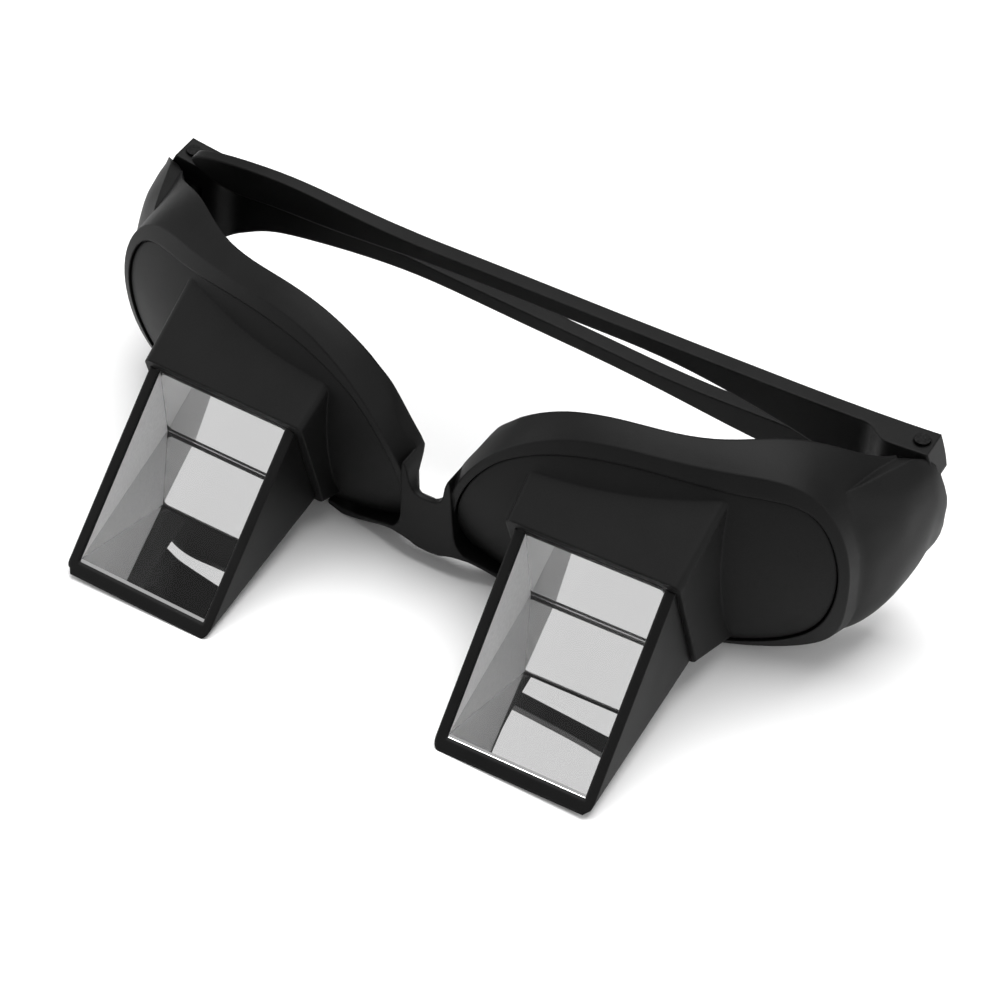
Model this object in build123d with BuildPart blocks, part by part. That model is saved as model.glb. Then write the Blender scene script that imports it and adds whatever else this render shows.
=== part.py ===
# Prism bed glasses: a wrap-around front that carries two prism housings. They stand as they lie on a
# table, brow edge down, with the temples folded and crossed. X runs to the right, Y backward from the
# windows to the temples and Z up. The origin is the centre of the bridge's flat front face.
from build123d import *
import math
import os

# Distance between the eyes, and the overrun of every cut
pupil_distance = 66.0
overrun = 40.0

# Lens plane of each eye, turned outward and tipped forward
lens_yaw = 10.0
lens_pitch = 4.0
lens_depth = 2.0
lens_height = 11.9

# Lens panel: a shallow dome with a rounded outline
panel_width = 58.7
panel_height = 34.2
panel_shift = 0.9
panel_drop = 0.15
panel_bulge = 3.2
panel_side_radius = 100.0
panel_tall_radius = 43.0
panel_thickness = 1.8
panel_gap = 0.3
panel_outline_shares = [
    (-1.0, -0.31), (-0.905, 0.23), (-0.73, 0.62), (-0.37, 0.925), (0.07, 1.0), (0.51, 0.95), (0.85, 0.83),
    (0.99, 0.43), (1.0, -0.08), (0.90, -0.52), (0.55, -0.875), (-0.10, -1.0), (-0.645, -0.94), (-0.94, -0.71),
]

# Rim: front lip, widest section and hinge section, each an outline of its own width and height
rim_lip = 1.2
rim_lip_low = 0.85
rim_lip_proud = 0.4
rim_lead = 1.5
rim_wall = 2.4
seat_depth = 3.4
ledge_depth = 4.6
ledge_width = 1.6
waist_depth = 5.5
waist_width = 64.1
waist_height = 39.3
waist_shift = 1.5
waist_rise = 1.35
waist_outline_shares = [
    (-1.0, -0.35), (-0.92, 0.135), (-0.75, 0.54), (-0.42, 0.92), (0.045, 1.0), (0.42, 0.97), (0.78, 0.80),
    (0.955, 0.40), (1.0, -0.14), (0.935, -0.66), (0.545, -0.96), (-0.11, -1.0), (-0.61, -0.97), (-0.92, -0.76),
]
end_depth = 21.5
end_width = 72.2
end_height = 37.0
end_shift = 5.1
end_rise = 0.5
end_outline_shares = [
    (-1.0, -0.35), (-0.945, 0.19), (-0.78, 0.62), (-0.475, 0.945), (-0.06, 1.0), (0.275, 0.96), (0.62, 0.865),
    (0.91, 0.62), (1.0, 0.135), (0.94, -0.38), (0.47, -0.89), (-0.2, -1.0), (-0.64, -0.97), (-0.917, -0.78),
]

# Rear edge of the front, seen from above
rear_edge_depth = 3.1
rear_edge_span = 64.0
wrap_depth = 23.0
rear_edge_shares = [(0.25, 0.01), (0.47, 0.09), (0.67, 0.24), (0.82, 0.52), (0.94, 0.77)]

# Bridge between the rims
bridge_width = 11.0
bridge_height = 10.6
bridge_thickness = 3.0
bridge_round = 1.0

# Prism unit, in its own frame at the window's centre, rolled so that its outer side stands higher
unit_advance = 19.9
unit_height = 7.2
unit_roll = 1.8
window_width = 23.4
window_length = 32.2
window_tilt = 44.3
side_wall = 1.6
base_wall = 1.1
base_slope = 9.4
glass_recess = 0.3
mirror_thickness = 0.3
prism_side_gap = 0.15

# Hood between the panel and the prism housing
hood_width = 29.0
hood_shift = 0.3
hood_front_top_depth = 10.8
hood_front_top_height = 12.5
hood_front_low_depth = 16.5
hood_front_low_height = 7.9
hood_top_flare = 28.0
hood_low_flare = 18.0
hood_side_flare = 1.6
hood_side_wall = 1.6
hood_top_wall = 1.25
hood_low_wall = 1.25
hood_reach = 17.0
hood_round = 1.2
collar_depth = 2.5
collar_wall = 1.0
collar_fit = 0.1

# Hinges
hinge_half_span = 65.0
hinge_depth = 29.0
hinge_height = 19.9
right_temple_rise = 2.0
right_temple_turn = 2.0
left_temple_rise = -6.8
left_temple_turn = -2.4
root_height = 15.6
root_thickness = 5.1
root_overhang = 4.4
root_length = 4.0
flare_length = 9.5
corner_cut_top = 2.5
corner_cut_low = 1.3
corner_cut_top_height = 5.8
corner_cut_low_height = 4.3
slot_height = 6.6
slot_length = 3.2
lug_radius = 2.3
lug_web = 3.6
lug_clearance = 0.3
lug_web_turn = 39.0
pin_radius = 0.7
pin_fit = 0.05
pin_head_radius = 1.2
pin_head_height = 0.8
pin_recess_depth = 0.5
sweep_clearance = 0.35

# Temples, from the hinge pin to the tip
temple_length = 126.5
temple_thickness = 2.6
tip_thickness = 1.8
tip_taper_share = 0.7
temple_upper_shares = [(0.0, 0.98), (0.22, 0.86), (0.45, 0.84), (0.60, 0.84), (0.70, 0.85), (0.80, 0.99),
                       (0.92, 1.05)]
temple_lower_shares = [(0.05, -0.88), (0.11, -0.28), (0.165, 0.02), (0.23, 0.25), (0.33, 0.48), (0.45, 0.51),
                       (0.60, 0.51), (0.70, 0.45), (0.80, 0.36), (0.90, 0.33), (0.96, 0.37)]
temple_tip_share = 0.72

# Lens plane: X outward along the panel, Y up it, Z forward out of it
level_normal = Vector(math.sin(math.radians(lens_yaw)), -math.cos(math.radians(lens_yaw)), 0)
lens_normal = (level_normal * math.cos(math.radians(lens_pitch))
               + Vector(0, 0, -1) * math.sin(math.radians(lens_pitch)))
lens_plane = Plane(
    origin=(pupil_distance / 2, lens_depth, lens_height),
    x_dir=(math.cos(math.radians(lens_yaw)), math.sin(math.radians(lens_yaw)), 0),
    z_dir=lens_normal,
)
dome_reach = waist_height / 2 + rim_wall + rim_lip


def outline_sketch(plane, shares, width, height, shift, rise):
    """A closed smooth outline on a plane, from shares of its half width and half height."""
    with BuildSketch(plane) as sketch:
        with BuildLine():
            Spline(*[(shift + width / 2 * across, rise + height / 2 * up) for across, up in shares],
                   periodic=True)
        make_face()
    return sketch.sketch


def panel_sketch(plane, growth):
    """The lens panel's outline, grown all round."""
    return outline_sketch(plane, panel_outline_shares, panel_width + 2 * growth, panel_height + 2 * growth,
                          panel_shift, -panel_drop)


def dome(proud):
    """The space behind the panel's domed surface, raised in front of it by a proud height."""
    profile_plane = Plane(origin=lens_plane.origin, x_dir=lens_plane.z_dir, z_dir=-lens_plane.x_dir)
    crown = panel_bulge + proud
    tall_radius = panel_tall_radius + proud
    brim = crown - tall_radius + math.sqrt(tall_radius ** 2 - dome_reach ** 2)
    axis_place = panel_bulge - panel_side_radius
    with BuildPart() as body:
        with BuildSketch(profile_plane):
            with BuildLine():
                Polyline((brim, dome_reach), (axis_place, dome_reach), (axis_place, -dome_reach),
                         (brim, -dome_reach))
                ThreePointArc((brim, -dome_reach), (crown, 0), (brim, dome_reach))
            make_face()
        revolve(axis=Axis(profile_plane.from_local_coords((axis_place, 0)), lens_plane.y_dir))
    return body.part


def rim_loft(inset):
    """The rim's body from its front lip past its waist to its hinge section, drawn in by an inset."""
    with BuildPart() as body:
        add(outline_sketch(lens_plane.offset(rim_lead), panel_outline_shares,
                           panel_width + 2 * (rim_lip - inset),
                           panel_height + rim_lip + rim_lip_low - 2 * inset,
                           panel_shift, (rim_lip - rim_lip_low) / 2 - panel_drop))
        add(outline_sketch(lens_plane.offset(-waist_depth), waist_outline_shares, waist_width - 2 * inset,
                           waist_height - 2 * inset, waist_shift, waist_rise))
        add(outline_sketch(lens_plane.offset(-end_depth), end_outline_shares, end_width - 2 * inset,
                           end_height - 2 * inset, end_shift, end_rise))
        loft()
    return body.part


with BuildPart() as rim_body:
    add(rim_loft(0))
    add(dome(rim_lip_proud), mode=Mode.INTERSECT)

with BuildPart() as rim_space:
    add(rim_loft(rim_wall))
    split(bisect_by=lens_plane.offset(-ledge_depth), keep=Keep.BOTTOM)
    extrude(panel_sketch(lens_plane.offset(-seat_depth), panel_gap), amount=overrun)
    extrude(panel_sketch(lens_plane, -ledge_width), amount=overrun, both=True)


def hinge_plane(rise):
    """The plane across the right-hand hinge pin, halfway up it, with X along the folded temple."""
    along = Vector(-math.cos(math.radians(rise)), 0, math.sin(math.radians(rise)))
    upward = Vector(math.sin(math.radians(rise)), 0, math.cos(math.radians(rise)))
    pivot = Vector(hinge_half_span, hinge_depth, hinge_height)
    return Plane(origin=pivot, x_dir=along, z_dir=upward)


def hinge_recess(rise):
    """The round space in which the temple's root turns, open at the top."""
    across = hinge_plane(rise)
    floor = -root_height / 2 - sweep_clearance
    with BuildPart() as body:
        with BuildSketch(across.offset(floor)):
            Circle(root_overhang + sweep_clearance)
        extrude(amount=root_height + overrun)
    return body.part


def hinge_lug(rise):
    """The front's single knuckle and its web, between the temple's two knuckles."""
    across = hinge_plane(rise)
    height = slot_height - 2 * lug_clearance
    turn = 90 + lug_web_turn
    with BuildPart() as body:
        with BuildSketch(across.offset(-height / 2)):
            with Locations(Rotation(0, 0, turn)):
                Rectangle(root_overhang + rim_wall, lug_web, align=(Align.MIN, Align.CENTER))
        extrude(amount=height)
        add(rim_body.part, mode=Mode.INTERSECT)
        with BuildSketch(across.offset(-height / 2)):
            Circle(lug_radius)
        extrude(amount=height)
        with BuildSketch(across.offset(-height / 2)):
            Circle(pin_radius)
        extrude(amount=height, mode=Mode.SUBTRACT)
    return body.part


with BuildPart() as front_frame:
    add(rim_body.part)
    mirror(rim_body.part, about=Plane.YZ)
    with BuildSketch(Plane.XZ):
        RectangleRounded(bridge_width, bridge_height, bridge_round)
    extrude(amount=-bridge_thickness)
    add(rim_space.part, mode=Mode.SUBTRACT)
    mirror(rim_space.part, about=Plane.YZ, mode=Mode.SUBTRACT)
    with BuildSketch():
        with BuildLine():
            rear_points = [(rear_edge_span * across, rear_edge_depth + wrap_depth * back)
                           for across, back in rear_edge_shares + [(1, 1)]]
            left_points = [(-across, back) for across, back in reversed(rear_points)]
            Spline(*left_points, (0, rear_edge_depth), *rear_points)
            end_line = rear_edge_depth + wrap_depth
            Polyline((rear_edge_span, end_line), (rear_edge_span + overrun, end_line),
                     (rear_edge_span + overrun, end_line + overrun),
                     (-rear_edge_span - overrun, end_line + overrun),
                     (-rear_edge_span - overrun, end_line), (-rear_edge_span, end_line))
        make_face()
    extrude(amount=2 * overrun, both=True, mode=Mode.SUBTRACT)
    add(hinge_recess(right_temple_rise), mode=Mode.SUBTRACT)
    mirror(hinge_recess(left_temple_rise), about=Plane.YZ, mode=Mode.SUBTRACT)
    add(hinge_lug(right_temple_rise))
    mirror(hinge_lug(left_temple_rise), about=Plane.YZ)

# Prism unit: X across the window, Y backward, Z up, with its origin at the window's centre
unit_x = Vector(math.cos(math.radians(unit_roll)), 0, math.sin(math.radians(unit_roll)))
unit_z = Vector(-math.sin(math.radians(unit_roll)), 0, math.cos(math.radians(unit_roll)))
unit_plane = Plane(origin=(pupil_distance / 2, -unit_advance, unit_height), x_dir=unit_x, z_dir=unit_z)
profile_plane = Plane(origin=unit_plane.origin, x_dir=(0, 1, 0), z_dir=unit_x)

# Lines of the unit's side profile, each a point and a direction: Y backward, Z up
window_slope = Vector(math.cos(math.radians(window_tilt)), math.sin(math.radians(window_tilt)))
window_low = window_slope * (-window_length / 2)
base_line = Vector(math.cos(math.radians(base_slope)), math.sin(math.radians(base_slope)))
base_normal = Vector(-base_line.Y, base_line.X)
hood_top_point = Vector(hood_front_top_depth, hood_front_top_height)
hood_low_point = Vector(hood_front_low_depth, -hood_front_low_height)
hood_line = (hood_top_point - hood_low_point).normalized()


def meet(point, direction, other_point, other_direction):
    """Where two lines of the side profile cross."""
    gap = other_point - point
    spread = direction.X * other_direction.Y - direction.Y * other_direction.X
    return point + direction * ((gap.X * other_direction.Y - gap.Y * other_direction.X) / spread)


def profile_solid(points, half_width):
    """A side profile, carried across the unit on both sides of its middle."""
    with BuildPart() as body:
        with BuildSketch(profile_plane):
            with BuildLine():
                Polyline(*[(point.X, point.Y) for point in points], close=True)
            make_face()
        extrude(amount=half_width, both=True)
    return body.part


window_normal = Vector(-window_slope.Y, window_slope.X)
housing_base = window_low - base_normal * (base_wall + mirror_thickness)
mirror_base = window_low - base_normal * mirror_thickness
tip = meet(window_low, window_slope, housing_base, base_line)
heel = meet(housing_base, base_line, hood_low_point, hood_line)
crest = meet(window_low, window_slope, hood_low_point, hood_line)
glass_front = window_low - window_normal * glass_recess
glass_tip = meet(glass_front, window_slope, window_low, base_line)
glass_heel = meet(window_low, base_line, hood_low_point, hood_line)
glass_crest = meet(glass_front, window_slope, hood_low_point, hood_line)
mirror_tip = meet(glass_front, window_slope, mirror_base, base_line)
mirror_heel = meet(mirror_base, base_line, hood_low_point, hood_line)
space_tip = mirror_base - base_line * overrun
space_far = crest + Vector(0, overrun)
window_half = window_width / 2
housing_half = window_half + side_wall
prism_half = window_half - prism_side_gap

# Hood: a box that widens from its front rim back to the panel
hood_middle = (hood_top_point + hood_low_point) * 0.5
hood_normal = unit_plane.from_local_coords((0, -hood_line.Y, hood_line.X)) - unit_plane.origin
hood_plane = Plane(origin=unit_plane.from_local_coords((-hood_shift, hood_middle.X, hood_middle.Y)),
                   x_dir=unit_x, z_dir=hood_normal)
hood_front_length = (hood_top_point - hood_low_point).length
hood_back_depth = hood_front_top_depth + hood_reach
hood_back_top = hood_front_top_height + hood_reach * math.tan(math.radians(hood_top_flare))
hood_back_low = (-hood_front_low_height
                 - (hood_back_depth - hood_front_low_depth) * math.tan(math.radians(hood_low_flare)))
hood_back_plane = Plane(
    origin=unit_plane.from_local_coords((-hood_shift, hood_back_depth, (hood_back_top + hood_back_low) / 2)),
    x_dir=unit_x, z_dir=(0, -1, 0))


def hood_sketch(plane, width, height, inset_side, inset_top, inset_low):
    """A rounded rectangle drawn in by the hood's walls."""
    with BuildSketch(plane) as sketch:
        with Locations((0, (inset_low - inset_top) / 2)):
            RectangleRounded(width - 2 * inset_side, height - inset_top - inset_low, hood_round)
    return sketch.sketch


def hood_loft(inset_side, inset_top, inset_low):
    """The hood's body, or with insets the space inside it."""
    with BuildPart() as body:
        add(hood_sketch(hood_plane, hood_width, hood_front_length, inset_side, inset_top, inset_low))
        add(hood_sketch(hood_back_plane, hood_width + hood_side_flare, hood_back_top - hood_back_low,
                        inset_side, inset_top, inset_low))
        loft()
    return body.part


# Lens panel: a domed shell within its outline, with the hood in front of it
with BuildPart() as panel_space:
    extrude(panel_sketch(lens_plane, -ledge_width), amount=overrun, both=True)
    add(dome(-panel_thickness), mode=Mode.INTERSECT)

with BuildPart() as hood_front:
    add(hood_loft(0, 0, 0))
    add(dome(-panel_thickness), mode=Mode.SUBTRACT)

with BuildPart() as right_lens_panel:
    extrude(panel_sketch(lens_plane.offset(-seat_depth), 0), amount=overrun)
    add(dome(0), mode=Mode.INTERSECT)
    add(panel_space.part, mode=Mode.SUBTRACT)
    add(hood_front.part)
    add(hood_loft(hood_side_wall, hood_top_wall, hood_low_wall), mode=Mode.SUBTRACT)

with BuildPart() as left_lens_panel:
    mirror(right_lens_panel.part, about=Plane.YZ)

with BuildPart() as collar:
    add(hood_loft(hood_side_wall + collar_fit, hood_top_wall + collar_fit, hood_low_wall + collar_fit))
    add(hood_loft(hood_side_wall + collar_fit + collar_wall, hood_top_wall + collar_fit + collar_wall,
                  hood_low_wall + collar_fit + collar_wall), mode=Mode.SUBTRACT)
    split(bisect_by=hood_plane.offset(-collar_depth), keep=Keep.TOP)

with BuildPart() as right_prism_housing:
    add(profile_solid([tip, heel, crest], housing_half))
    add(profile_solid([space_tip, mirror_heel, space_far], window_half), mode=Mode.SUBTRACT)
    add(collar.part)

with BuildPart() as left_prism_housing:
    mirror(right_prism_housing.part, about=Plane.YZ)

with BuildPart() as right_prism:
    add(profile_solid([glass_tip, glass_heel, glass_crest], prism_half))

with BuildPart() as left_prism:
    mirror(right_prism.part, about=Plane.YZ)

with BuildPart() as right_base_mirror:
    add(profile_solid([mirror_tip, mirror_heel, glass_heel, glass_tip], prism_half))

with BuildPart() as left_base_mirror:
    mirror(right_base_mirror.part, about=Plane.YZ)


def temple_shape(rise, turn):
    """The right-hand temple in its folded place, leaned upward and turned forward, in degrees."""
    across = hinge_plane(rise).rotated((0, 0, turn))
    side = Plane(origin=across.origin, x_dir=across.x_dir, z_dir=-across.y_dir)
    half_height = root_height / 2
    half_thickness = root_thickness / 2
    blade_front = temple_thickness - half_thickness
    upper = [(temple_length * s, half_height * h) for s, h in temple_upper_shares]
    lower = [(temple_length * s, half_height * h) for s, h in temple_lower_shares]
    tip = (temple_length, half_height * temple_tip_share)
    butt = -root_overhang
    with BuildPart() as body:
        with BuildSketch(side):
            with BuildLine():
                Spline((butt + corner_cut_top, half_height), *upper, tip, *reversed(lower),
                       (root_length, -half_height))
                Polyline((root_length, -half_height), (butt + corner_cut_low, -half_height),
                         (butt, corner_cut_low_height - half_height),
                         (butt, half_height - corner_cut_top_height),
                         (butt + corner_cut_top, half_height))
            make_face()
        extrude(amount=root_thickness, both=True)
        with BuildSketch(across.offset(-overrun)):
            with BuildLine():
                Polyline((butt + half_thickness, -half_thickness),
                         (temple_length * tip_taper_share, -half_thickness),
                         (temple_length, blade_front - tip_thickness), (temple_length, blade_front),
                         (flare_length, blade_front))
                Spline((flare_length, blade_front), (root_length, half_thickness),
                       tangents=[(-1, 0), (-1, 0)])
                Line((root_length, half_thickness), (butt + half_thickness, half_thickness))
                ThreePointArc((butt + half_thickness, half_thickness), (butt, 0),
                              (butt + half_thickness, -half_thickness))
            make_face()
        extrude(amount=2 * overrun, mode=Mode.INTERSECT)
        with BuildSketch(across.offset(-slot_height / 2)):
            with Locations((slot_length, 0)):
                Rectangle(overrun, 2 * root_thickness, align=(Align.MAX, Align.CENTER))
        extrude(amount=slot_height, mode=Mode.SUBTRACT)
        with BuildSketch(across.offset(-overrun)):
            Circle(pin_radius + pin_fit)
        extrude(amount=2 * overrun, mode=Mode.SUBTRACT)
        with BuildSketch(across.offset(half_height - pin_recess_depth)):
            Circle(pin_head_radius + pin_fit)
        extrude(amount=overrun, mode=Mode.SUBTRACT)
    return body.part


def pin_shape(rise):
    """The hinge pin: its head in the temple's upper recess, its foot level with the lower knuckle."""
    across = hinge_plane(rise)
    with BuildPart() as body:
        with BuildSketch(across.offset(-root_height / 2)):
            Circle(pin_radius)
        extrude(amount=root_height - pin_recess_depth)
        with BuildSketch(across.offset(root_height / 2 - pin_recess_depth)):
            Circle(pin_head_radius)
        extrude(amount=pin_head_height)
    return body.part


with BuildPart() as right_temple:
    add(temple_shape(right_temple_rise, right_temple_turn))

with BuildPart() as left_temple:
    mirror(temple_shape(left_temple_rise, left_temple_turn), about=Plane.YZ)

with BuildPart() as right_hinge_pin:
    add(pin_shape(right_temple_rise))

with BuildPart() as left_hinge_pin:
    mirror(pin_shape(left_temple_rise), about=Plane.YZ)

pieces = {
    "front_frame": front_frame,
    "right_lens_panel": right_lens_panel,
    "left_lens_panel": left_lens_panel,
    "right_prism_housing": right_prism_housing,
    "left_prism_housing": left_prism_housing,
    "right_prism": right_prism,
    "left_prism": left_prism,
    "right_base_mirror": right_base_mirror,
    "left_base_mirror": left_base_mirror,
    "right_temple": right_temple,
    "left_temple": left_temple,
    "right_hinge_pin": right_hinge_pin,
    "left_hinge_pin": left_hinge_pin,
}
os.makedirs("parts", exist_ok=True)
for name, piece in pieces.items():
    piece.part.label = name
    export_step(piece.part, f"parts/{name}.step")
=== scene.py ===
import math
import bmesh
import bpy
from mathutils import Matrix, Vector, geometry


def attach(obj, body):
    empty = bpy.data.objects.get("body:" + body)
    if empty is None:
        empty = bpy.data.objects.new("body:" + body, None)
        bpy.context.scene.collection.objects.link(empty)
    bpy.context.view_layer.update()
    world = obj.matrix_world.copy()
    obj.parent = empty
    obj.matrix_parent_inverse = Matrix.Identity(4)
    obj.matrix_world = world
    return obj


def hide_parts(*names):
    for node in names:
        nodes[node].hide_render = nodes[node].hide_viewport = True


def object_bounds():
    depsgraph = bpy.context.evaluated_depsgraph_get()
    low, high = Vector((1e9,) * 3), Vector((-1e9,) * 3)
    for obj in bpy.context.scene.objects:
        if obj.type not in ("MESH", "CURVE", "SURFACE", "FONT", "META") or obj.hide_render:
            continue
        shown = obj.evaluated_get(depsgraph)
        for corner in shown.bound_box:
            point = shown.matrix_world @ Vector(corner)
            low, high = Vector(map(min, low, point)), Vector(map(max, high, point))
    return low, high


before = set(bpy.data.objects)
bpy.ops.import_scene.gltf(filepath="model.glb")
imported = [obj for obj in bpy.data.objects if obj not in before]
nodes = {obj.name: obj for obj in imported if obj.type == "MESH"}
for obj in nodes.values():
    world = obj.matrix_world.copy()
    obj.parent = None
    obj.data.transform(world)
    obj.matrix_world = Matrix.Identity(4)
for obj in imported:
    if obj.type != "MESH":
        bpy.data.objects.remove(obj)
cad_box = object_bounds()
bpy.ops.object.select_all(action="DESELECT")

# Lengths and places are in millimetres and angles in degrees, apart from the studio's
MM = 0.001

# Camera: its place in front of the bridge, the angles it looks along, and its lens
CAMERA_PLACE = (178.7, -271.6, 324.6)
CAMERA_ELEVATION = 44.42
CAMERA_AZIMUTH = 31.61
CAMERA_LENS = 107.79
CAMERA_SENSOR = 36.0
CAMERA_CLIP_START = 10.0

# Studio, in metres and watts: its floor, its surrounding light, and each lamp's place, size and power
FLOOR_SIZE = 8.0
WORLD_LEVEL = 0.45
LAMPS = [
    ("ceiling", (0.0, 0.2, 0.9), 0.8, 11.0),
    ("right_screen", (0.7, -0.1, 0.25), 0.5, 1.8),
    ("left_screen", (-0.7, -0.2, 0.25), 0.5, 2.4),
]

# Greys of the surfaces, as one level or as the two levels that a cloudy one runs between, and the values of
# its pattern that give those two
PLASTIC_GREYS = (0.0028, 0.0045)
GROUND_GLASS_GREYS = (0.70, 0.78)
MIRROR_GREYS = (0.86, 0.9)
PIN_GREYS = (0.005, 0.02)
CLEAR_GLASS_GREY = 0.97
SILVER_GREY = 0.70
TABLE_GREY = 0.9
TABLE_ROUGHNESS = 0.8
CLOUD_START = 0.3
CLOUD_END = 0.7

# Plastic: its gloss, the depth of its moulded grain, and the radius that its edges look rounded by
PLASTIC_SPECULAR = 0.13
PLASTIC_CLOUD_ROUGHNESS = 0.12
PLASTIC_GRAIN_ROUGHNESS = 0.06
GRAIN_DEPTH = 0.02
EDGE_LOOK_RADIUS = 0.5
EDGE_LOOK_SAMPLES = 6

# Roughness of each moulding, at its mean
FRAME_ROUGHNESS = 0.5
PANEL_ROUGHNESS = 0.55
HOUSING_ROUGHNESS = 0.45
TEMPLE_ROUGHNESS = 0.4

# Glass: its refraction, the roughness of its ground sides, and how squarely a face looks sideways to be
# ground or downward to be silvered
GLASS_IOR = 1.49
GROUND_ROUGHNESS = 0.8
SIDE_FACING = 0.9
BASE_FACING = 0.95

# Pins: the least roughness, how much wear adds, and the wear's depth
PIN_ROUGHNESS = 0.3
PIN_WEAR_ROUGHNESS = 0.2
PIN_WEAR_DEPTH = 0.01

# Lean of the prism units and slope of their base
UNIT_ROLL = 1.8
BASE_SLOPE = 9.4

# Nose notch between the rims: half its width at a height, from its foot to well above the rims
NOTCH = [
    (0.0, 8.5), (1.2, 8.6), (2.2, 9.1), (2.9, 10.2), (3.2, 11.5), (3.5, 13.0), (4.3, 15.0), (5.3, 16.7),
    (6.3, 18.4), (7.25, 20.1), (8.3, 21.9), (9.75, 24.0), (12.8, 27.0), (22.0, 36.0),
]
NOTCH_STEPS = 5
NOTCH_DEPTHS = (-30.0, 60.0)

# Bridge plate: from the middle outward, its half width, lower edge, upper edge, front face and rear face
BRIDGE = [
    (0.0, -2.6, 14.0, -2.7, 2.6), (2.0, -2.4, 14.0, -2.7, 2.6), (3.2, -1.9, 14.0, -2.7, 2.6),
    (4.3, -1.55, 13.5, -2.7, 2.6), (4.8, -1.5, 3.0, -2.65, 2.8), (6.0, -1.45, 0.0, -2.5, 2.8),
    (7.2, -1.65, -0.9, -2.2, 2.9), (8.5, -2.2, -1.5, -1.8, 3.0), (10.0, -2.9, -2.2, -1.4, 3.0),
    (12.0, -3.9, -3.0, -0.9, 3.0), (15.0, -5.1, -4.1, -0.3, 3.2), (18.0, -6.2, -4.9, 0.4, 3.4),
    (21.0, -6.7, -5.4, 1.2, 3.6),
]
BRIDGE_STEPS = 3

# Plain block that the bridge plate stands for, as depths and heights, and half its width
BLOCK = [(-2.0, -1.7), (-2.0, -8.0), (4.0, -8.0), (4.0, -1.7)]
BLOCK_HALF_WIDTH = 5.8

# Relief behind the bridge's upper edge, as depths and heights at a half width: deep in the middle and
# shallow behind the rims' walls
DEEP_RELIEF = [(60.0, 14.0), (3.4, 14.0), (-1.8, 8.5), (3.0, 3.0), (60.0, 3.0)]
SHALLOW_RELIEF = [(60.0, 15.0), (3.2, 15.0), (2.15, 12.0), (2.15, 3.0), (60.0, 3.0)]
RELIEFS = [(0.0, DEEP_RELIEF), (4.1, DEEP_RELIEF), (4.3, SHALLOW_RELIEF), (5.5, SHALLOW_RELIEF)]

# Fuller wall of the right side, from inside the rim back past the hinge: at each depth, its thickness and
# the heights and outer places of its section
SIDE_WALL = [
    (11.6, 1.2, (-2, 1, 4, 7, 10, 13, 16, 19, 22, 25, 27.5),
     (58.4, 61.7, 63.1, 63.8, 64.2, 64.4, 64.3, 63.9, 63.0, 61.5, 59.4)),
    (14.0, 1.5, (-2, 1, 4, 7, 10, 13, 16, 19, 22, 25, 27.5),
     (60.2, 63.5, 64.9, 65.5, 65.9, 66.0, 65.9, 65.5, 64.8, 63.2, 60.9)),
    (16.5, 2.2, (-2, 1, 4, 7, 10, 13, 16, 19, 22, 25, 27.5),
     (61.2, 64.7, 66.1, 66.7, 67.0, 67.1, 67.1, 66.8, 66.2, 64.8, 62.1)),
    (19.5, 3.0, (-2, 1, 4, 7, 10, 13, 16, 19, 22, 25, 27.5),
     (61.6, 65.3, 67.1, 67.8, 68.1, 68.2, 68.2, 68.1, 67.6, 66.3, 63.4)),
    (22.5, 3.4, (-1.5, 1, 4, 7, 10, 13, 16, 19, 22, 25, 27.4),
     (61.5, 65.0, 67.4, 68.3, 68.8, 69.0, 69.0, 68.8, 68.4, 67.3, 64.7)),
    (25.3, 1.8, (0.5, 2.5, 5, 7.5, 10, 13, 16, 19, 22, 25, 27.3),
     (62.5, 65.5, 67.8, 68.8, 69.2, 69.5, 69.6, 69.4, 69.0, 68.0, 66.0)),
    (27.6, 1.2, (3.5, 5, 6.5, 8.5, 10.5, 13, 15.5, 18, 20.5, 23, 25.4),
     (65.5, 67.2, 68.2, 69.0, 69.3, 69.6, 69.8, 69.85, 69.6, 69.1, 68.4)),
    (30.0, 1.0, (5.5, 6, 7, 8.5, 10, 11.5, 13, 14.5, 16, 17, 17.8),
     (67.6, 68.0, 68.7, 69.2, 69.4, 69.6, 69.8, 69.9, 69.95, 69.95, 69.9)),
    (31.8, 0.8, (6.8, 7.1, 7.5, 8, 8.7, 9.4, 10.1, 10.8, 11.5, 12.0, 12.4),
     (68.4, 68.6, 68.8, 69.0, 69.1, 69.2, 69.3, 69.3, 69.3, 69.3, 69.2)),
]
WALL_STEPS = 3

# Height that the wall's inner face is drawn toward, and the share of its height that it keeps
WALL_MIDDLE = 13.0
WALL_DRAW_IN = 0.95

# Lower side edges of the right prism housing, from tip to heel, how far from them a point still counts as
# theirs, and the radius and facets that round them
HOUSING_EDGES = [
    ((46.7, -33.2, -5.3), (46.5, -3.4, -0.4)),
    ((20.1, -33.2, -6.2), (20.0, -3.4, -1.2)),
]
HOUSING_EDGE_REACH = 0.2
HOUSING_RADIUS = 1.1
HOUSING_FACETS = 5

# Gap under which points are one, sharpest edge that is shaded smooth, and how far the base mirrors' faces
# are drawn in from their neighbours'
WELD_GAP = 0.002
SMOOTH_ANGLE = 32.0
MIRROR_DRAW_IN = 0.03


class Value:
    """A value in a material, with some of Python's operators as Math nodes."""

    def __init__(self, finish, socket):
        self.finish = finish
        self.socket = socket

    def maths(self, operation, *others):
        inputs = dict(enumerate((self, *others)))
        return self.finish.node("ShaderNodeMath", {"operation": operation}, inputs)

    def __add__(self, other):
        return self.maths("ADD", other)

    def __mul__(self, other):
        return self.maths("MULTIPLY", other)

    def __gt__(self, other):
        return self.maths("GREATER_THAN", other)

    def size(self):
        return self.maths("ABSOLUTE")


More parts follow.
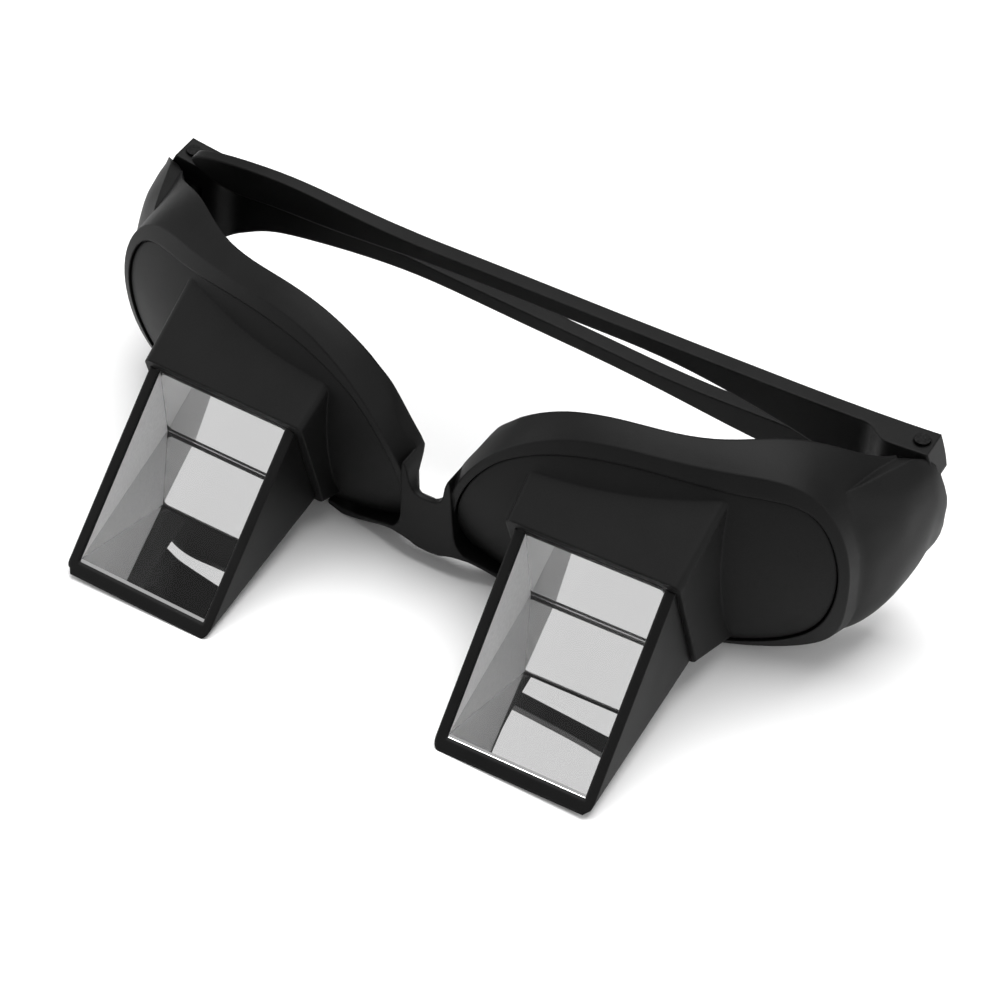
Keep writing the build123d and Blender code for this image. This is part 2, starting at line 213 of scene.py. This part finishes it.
class Finish:
    """A material's node tree, built from an empty one."""

    def __init__(self, name):
        self.material = bpy.data.materials.new(name)
        self.material.use_nodes = True
        self.tree = self.material.node_tree
        self.tree.nodes.clear()

    def node(self, kind, settings=None, inputs=None, output=0):
        """Adds a node, makes its settings, fills its sockets and returns one of its outputs."""
        node = self.tree.nodes.new(kind)
        for name, value in (settings or {}).items():
            setattr(node, name, value)
        for name, value in (inputs or {}).items():
            if isinstance(value, Value):
                self.tree.links.new(value.socket, node.inputs[name])
            else:
                node.inputs[name].default_value = value
        return Value(self, node.outputs[output]) if node.outputs else None

    def place(self, output="Object"):
        return self.node("ShaderNodeTexCoord", output=output)

    def noise(self, per_metre, detail=2.0, roughness=0.5):
        return self.node("ShaderNodeTexNoise", inputs={
            "Vector": self.place(), "Scale": per_metre, "Detail": detail, "Roughness": roughness})

    def facing(self, direction):
        """How far the surface faces along a direction of the object."""
        return self.node("ShaderNodeVectorMath", {"operation": "DOT_PRODUCT"},
                         {0: self.place("Normal"), 1: direction}, output="Value")

    def cloudy(self, pattern, levels):
        """A colour that runs between two greys as a pattern grows."""
        colour = self.node("ShaderNodeValToRGB", inputs={0: pattern})
        stops = colour.socket.node.color_ramp.elements
        for stop, position, level in zip(stops, (CLOUD_START, CLOUD_END), levels):
            stop.position = position
            stop.color = grey(level)
        return colour

    def bump(self, height, depth, edge=0.0):
        """A normal bumped by a depth, over edges that look rounded by a radius."""
        inputs = {"Height": height, "Distance": depth * MM, "Strength": 1.0}
        if edge:
            rounding = {"samples": EDGE_LOOK_SAMPLES}
            inputs["Normal"] = self.node("ShaderNodeBevel", rounding, {"Radius": edge * MM})
        return self.node("ShaderNodeBump", inputs=inputs)

    def shader(self, settings):
        return self.node("ShaderNodeBsdfPrincipled", inputs=settings)

    def mix(self, share, first, second):
        return self.node("ShaderNodeMixShader", inputs={0: share, 1: first, 2: second})

    def finished(self, surface):
        self.node("ShaderNodeOutputMaterial", inputs={"Surface": surface})
        return self.material


def grey(level):
    return (level, level, level, 1.0)


def black_plastic(name, roughness):
    """Black moulded plastic with a fine spark-eroded grain and faint clouding."""
    finish = Finish(name)
    cloud = finish.noise(per_metre=120.0, detail=3.0)
    grain = finish.noise(per_metre=5200.0, detail=2.0, roughness=0.6)
    least = roughness - (PLASTIC_CLOUD_ROUGHNESS + PLASTIC_GRAIN_ROUGHNESS) / 2
    return finish.finished(finish.shader({
        "Base Color": finish.cloudy(cloud, PLASTIC_GREYS),
        "Roughness": cloud * PLASTIC_CLOUD_ROUGHNESS + grain * PLASTIC_GRAIN_ROUGHNESS + least,
        "Specular IOR Level": PLASTIC_SPECULAR,
        "Normal": finish.bump(grain, GRAIN_DEPTH, edge=EDGE_LOOK_RADIUS),
    }))


def prism_glass(name, side):
    """Polished glass with ground side faces and a silvered base."""
    finish = Finish(name)
    roll = math.radians(UNIT_ROLL)
    slope = math.radians(BASE_SLOPE)
    across = (side * math.cos(roll), 0.0, math.sin(roll))
    downward = (0.0, math.sin(slope), -math.cos(slope))
    clear = finish.node("ShaderNodeBsdfGlass", {"distribution": "GGX"},
                        {"Color": grey(CLEAR_GLASS_GREY), "Roughness": 0.0, "IOR": GLASS_IOR})
    ground = finish.shader({
        "Base Color": finish.cloudy(finish.noise(per_metre=1500.0, detail=4.0), GROUND_GLASS_GREYS),
        "Roughness": GROUND_ROUGHNESS,
    })
    silver = finish.shader({"Base Color": grey(SILVER_GREY), "Metallic": 1.0, "Roughness": 0.0})
    sides = finish.facing(across).size() > SIDE_FACING
    base = finish.facing(downward).size() > BASE_FACING
    return finish.finished(finish.mix(base, finish.mix(sides, clear, ground), silver))


def silvered(name):
    """A polished mirror plate."""
    finish = Finish(name)
    return finish.finished(finish.shader({
        "Base Color": finish.cloudy(finish.noise(per_metre=900.0), MIRROR_GREYS),
        "Metallic": 1.0,
        "Roughness": 0.0,
    }))


def pin_steel(name):
    """Darkened steel with a worn head."""
    finish = Finish(name)
    wear = finish.noise(per_metre=2500.0, detail=3.0)
    return finish.finished(finish.shader({
        "Base Color": finish.cloudy(wear, PIN_GREYS),
        "Metallic": 1.0,
        "Roughness": wear * PIN_WEAR_ROUGHNESS + PIN_ROUGHNESS,
        "Normal": finish.bump(wear, PIN_WEAR_DEPTH),
    }))


def dress(node, material):
    """Gives a CAD node its material."""
    slots = nodes[node].data.materials
    slots.clear()
    slots.append(material)


def draw_in(node, depth):
    """Draws a CAD node's faces in by a depth, so that none lies in a neighbour's face."""
    change = nodes[node].modifiers.new("draw_in", "DISPLACE")
    change.mid_level = 0.0
    change.strength = -depth * MM


def round_edges(node, lines, radius, side):
    """Rounds a CAD node's edges that lie on some lines of the right side, or on their mirror images."""
    mesh = nodes[node].data
    weights = mesh.attributes.new("bevel_weight_edge", "FLOAT", "EDGE")
    for first, second in lines:
        start = Vector((side * first[0], *first[1:])) * MM
        end = Vector((side * second[0], *second[1:])) * MM
        on_line = []
        for vertex in mesh.vertices:
            nearest = geometry.intersect_point_line(vertex.co, start, end)[0]
            on_line.append((nearest - vertex.co).length < HOUSING_EDGE_REACH * MM)
        for edge in mesh.edges:
            if all(on_line[place] for place in edge.vertices):
                weights.data[edge.index].value = 1.0
    weld = nodes[node].modifiers.new("weld", "WELD")
    weld.merge_threshold = WELD_GAP * MM
    bevel = nodes[node].modifiers.new("round", "BEVEL")
    bevel.limit_method = "WEIGHT"
    bevel.width = radius * MM
    bevel.segments = HOUSING_FACETS


def link_mesh(name, form):
    """Makes a named object of a finished form, with its faces turned outward."""
    bmesh.ops.recalc_face_normals(form, faces=form.faces)
    mesh = bpy.data.meshes.new(name)
    form.to_mesh(mesh)
    form.free()
    made = bpy.data.objects.new(name, mesh)
    bpy.context.scene.collection.objects.link(made)
    return made


def skin(name, rings):
    """A closed solid through rings of points, all with as many points."""
    form = bmesh.new()
    lines = [[form.verts.new([value * MM for value in point]) for point in ring] for ring in rings]
    for first, second in zip(lines, lines[1:]):
        for step in range(len(first)):
            form.faces.new((first[step - 1], first[step], second[step], second[step - 1]))
    form.faces.new(lines[0])
    form.faces.new(lines[-1])
    return link_mesh(name, form)


def rounded(points, steps):
    """A line of places through the given ones, smoothed between them in some steps."""
    padded = [points[0], *points, points[-1]]
    line = []
    for before, start, end, after in zip(padded, padded[1:], padded[2:], padded[3:]):
        for step in range(steps):
            share = step / steps
            line.append(tuple(
                0.5 * (2 * b + (c - a) * share + (2 * a - 5 * b + 4 * c - d) * share ** 2
                       + (3 * b - a - 3 * c + d) * share ** 3)
                for a, b, c, d in zip(before, start, end, after)))
    return line + [points[-1]]


def mirrored_line(line):
    """A line from the middle outward, with its mirror image before it."""
    return [(-row[0], *row[1:]) for row in reversed(line[1:])] + line


def carve(body, tool, operation):
    """Joins a tool to a body or cuts it out, and takes the tool away."""
    change = body.modifiers.new(tool.name, "BOOLEAN")
    change.object = tool
    change.operation = operation
    change.solver = "EXACT"
    bpy.context.view_layer.objects.active = body
    bpy.ops.object.modifier_apply(modifier=change.name)
    bpy.data.objects.remove(tool)


def block():
    """The plain block between the rims, which makes room for the bridge plate."""
    return skin("block", [[(x, y, z) for y, z in BLOCK] for x in (-BLOCK_HALF_WIDTH, BLOCK_HALF_WIDTH)])


def bridge_plate():
    """The thin curved plate of the bridge, which runs into both rims."""
    return skin("plate", [
        [(x, face, low), (x, face, high), (x, rear, high), (x, rear, low)]
        for x, low, high, face, rear in mirrored_line(rounded(BRIDGE, BRIDGE_STEPS))])


def nose_notch():
    """The room between the rims for the nose, right through the front."""
    outline = mirrored_line(rounded(NOTCH, NOTCH_STEPS))
    return skin("notch", [[(x, y, z) for x, z in outline] for y in NOTCH_DEPTHS])


def bridge_relief():
    """The room behind the bridge's upper edge."""
    return skin("relief", [[(x, y, z) for y, z in outline] for x, outline in mirrored_line(RELIEFS)])


def side_wall(name, side):
    """A side's fuller wall, smoothed along its sections and between them."""
    sections = []
    for depth, thickness, heights, places in SIDE_WALL:
        line = [(side * place, depth, height) for place, height in zip(places, heights)]
        outer = rounded(line, WALL_STEPS)
        inner = [(x - side * thickness, y, WALL_MIDDLE + (z - WALL_MIDDLE) * WALL_DRAW_IN)
                 for x, y, z in outer]
        sections.append(outer + inner[::-1])
    lines = [rounded(list(line), WALL_STEPS) for line in zip(*sections)]
    return skin(name, list(zip(*lines)))


def shaped_front():
    """The front with its nose notch, bridge plate and fuller sides, which are plainer in its solid."""
    mesh = nodes["front_frame"].data.copy()
    mesh.name = "front_shell"
    front = bpy.data.objects.new("front_shell", mesh)
    bpy.context.scene.collection.objects.link(front)
    form = bmesh.new()
    form.from_mesh(mesh)
    bmesh.ops.remove_doubles(form, verts=form.verts, dist=WELD_GAP * MM)
    form.to_mesh(mesh)
    form.free()
    carve(front, block(), "DIFFERENCE")
    carve(front, bridge_plate(), "UNION")
    carve(front, nose_notch(), "DIFFERENCE")
    carve(front, bridge_relief(), "DIFFERENCE")
    carve(front, side_wall("right_wall", 1), "UNION")
    carve(front, side_wall("left_wall", -1), "UNION")
    front.select_set(True)
    bpy.context.view_layer.objects.active = front
    if front.data.has_custom_normals:
        bpy.ops.mesh.customdata_custom_splitnormals_clear()
    bpy.ops.object.shade_smooth_by_angle(angle=math.radians(SMOOTH_ANGLE))
    bpy.ops.object.select_all(action="DESELECT")
    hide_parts("front_frame")
    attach(front, "front")


def add_floor():
    """A wide white table top under the glasses."""
    bpy.ops.mesh.primitive_plane_add(size=FLOOR_SIZE, location=(0.0, 0.0, cad_box[0][2]))
    floor = bpy.context.object
    floor.name = "table_top"
    finish = Finish("table_white")
    surface = finish.shader({"Base Color": grey(TABLE_GREY), "Roughness": TABLE_ROUGHNESS})
    floor.data.materials.append(finish.finished(surface))
    bpy.ops.object.select_all(action="DESELECT")


def add_world(level):
    """An even pale surrounding that is white where the camera or the glass sees it."""
    world = bpy.data.worlds.new("studio")
    bpy.context.scene.world = world
    world.use_nodes = True
    tree = world.node_tree
    tree.nodes.clear()
    path = tree.nodes.new("ShaderNodeLightPath")
    seen = tree.nodes.new("ShaderNodeMath")
    seen.operation = "MAXIMUM"
    tree.links.new(path.outputs["Is Camera Ray"], seen.inputs[0])
    tree.links.new(path.outputs["Is Transmission Ray"], seen.inputs[1])
    strength = tree.nodes.new("ShaderNodeMapRange")
    strength.inputs["To Min"].default_value = level
    strength.inputs["To Max"].default_value = 1.0
    tree.links.new(seen.outputs[0], strength.inputs["Value"])
    background = tree.nodes.new("ShaderNodeBackground")
    background.inputs["Color"].default_value = grey(1.0)
    tree.links.new(strength.outputs[0], background.inputs["Strength"])
    output = tree.nodes.new("ShaderNodeOutputWorld")
    tree.links.new(background.outputs[0], output.inputs["Surface"])


def add_lamp(name, place, size, power):
    """A soft square lamp at a place, turned to the bridge."""
    data = bpy.data.lights.new(name, "AREA")
    data.shape = "SQUARE"
    data.size = size
    data.energy = power
    lamp = bpy.data.objects.new(name, data)
    bpy.context.scene.collection.objects.link(lamp)
    lamp.location = place
    lamp.rotation_euler = (-Vector(place)).to_track_quat("-Z", "Y").to_euler()


def add_camera():
    """The camera in front of and above the bridge, level from side to side."""
    data = bpy.data.cameras.new("camera")
    data.lens = CAMERA_LENS
    data.sensor_width = CAMERA_SENSOR
    data.clip_start = CAMERA_CLIP_START * MM
    camera = bpy.data.objects.new("camera", data)
    bpy.context.scene.collection.objects.link(camera)
    camera.location = [value * MM for value in CAMERA_PLACE]
    camera.rotation_euler = (math.radians(90.0 - CAMERA_ELEVATION), 0.0, math.radians(CAMERA_AZIMUTH))
    bpy.context.scene.camera = camera


panel_black = black_plastic("panel_black", PANEL_ROUGHNESS)
housing_black = black_plastic("housing_black", HOUSING_ROUGHNESS)
temple_black = black_plastic("temple_black", TEMPLE_ROUGHNESS)
steel = pin_steel("pin_steel")
mirror_back = silvered("mirror_back")

dress("front_frame", black_plastic("frame_black", FRAME_ROUGHNESS))
shaped_front()
for side_name, side_sign in (("right", 1), ("left", -1)):
    dress(f"{side_name}_lens_panel", panel_black)
    dress(f"{side_name}_prism_housing", housing_black)
    round_edges(f"{side_name}_prism_housing", HOUSING_EDGES, HOUSING_RADIUS, side_sign)
    dress(f"{side_name}_prism", prism_glass(f"{side_name}_prism_glass", side_sign))
    dress(f"{side_name}_base_mirror", mirror_back)
    draw_in(f"{side_name}_base_mirror", MIRROR_DRAW_IN)
    dress(f"{side_name}_temple", temple_black)
    dress(f"{side_name}_hinge_pin", steel)

add_floor()
add_world(WORLD_LEVEL)
for lamp_name, lamp_place, lamp_size, lamp_power in LAMPS:
    add_lamp(lamp_name, lamp_place, lamp_size, lamp_power)
add_camera()
bpy.context.scene.view_settings.view_transform = "Standard"
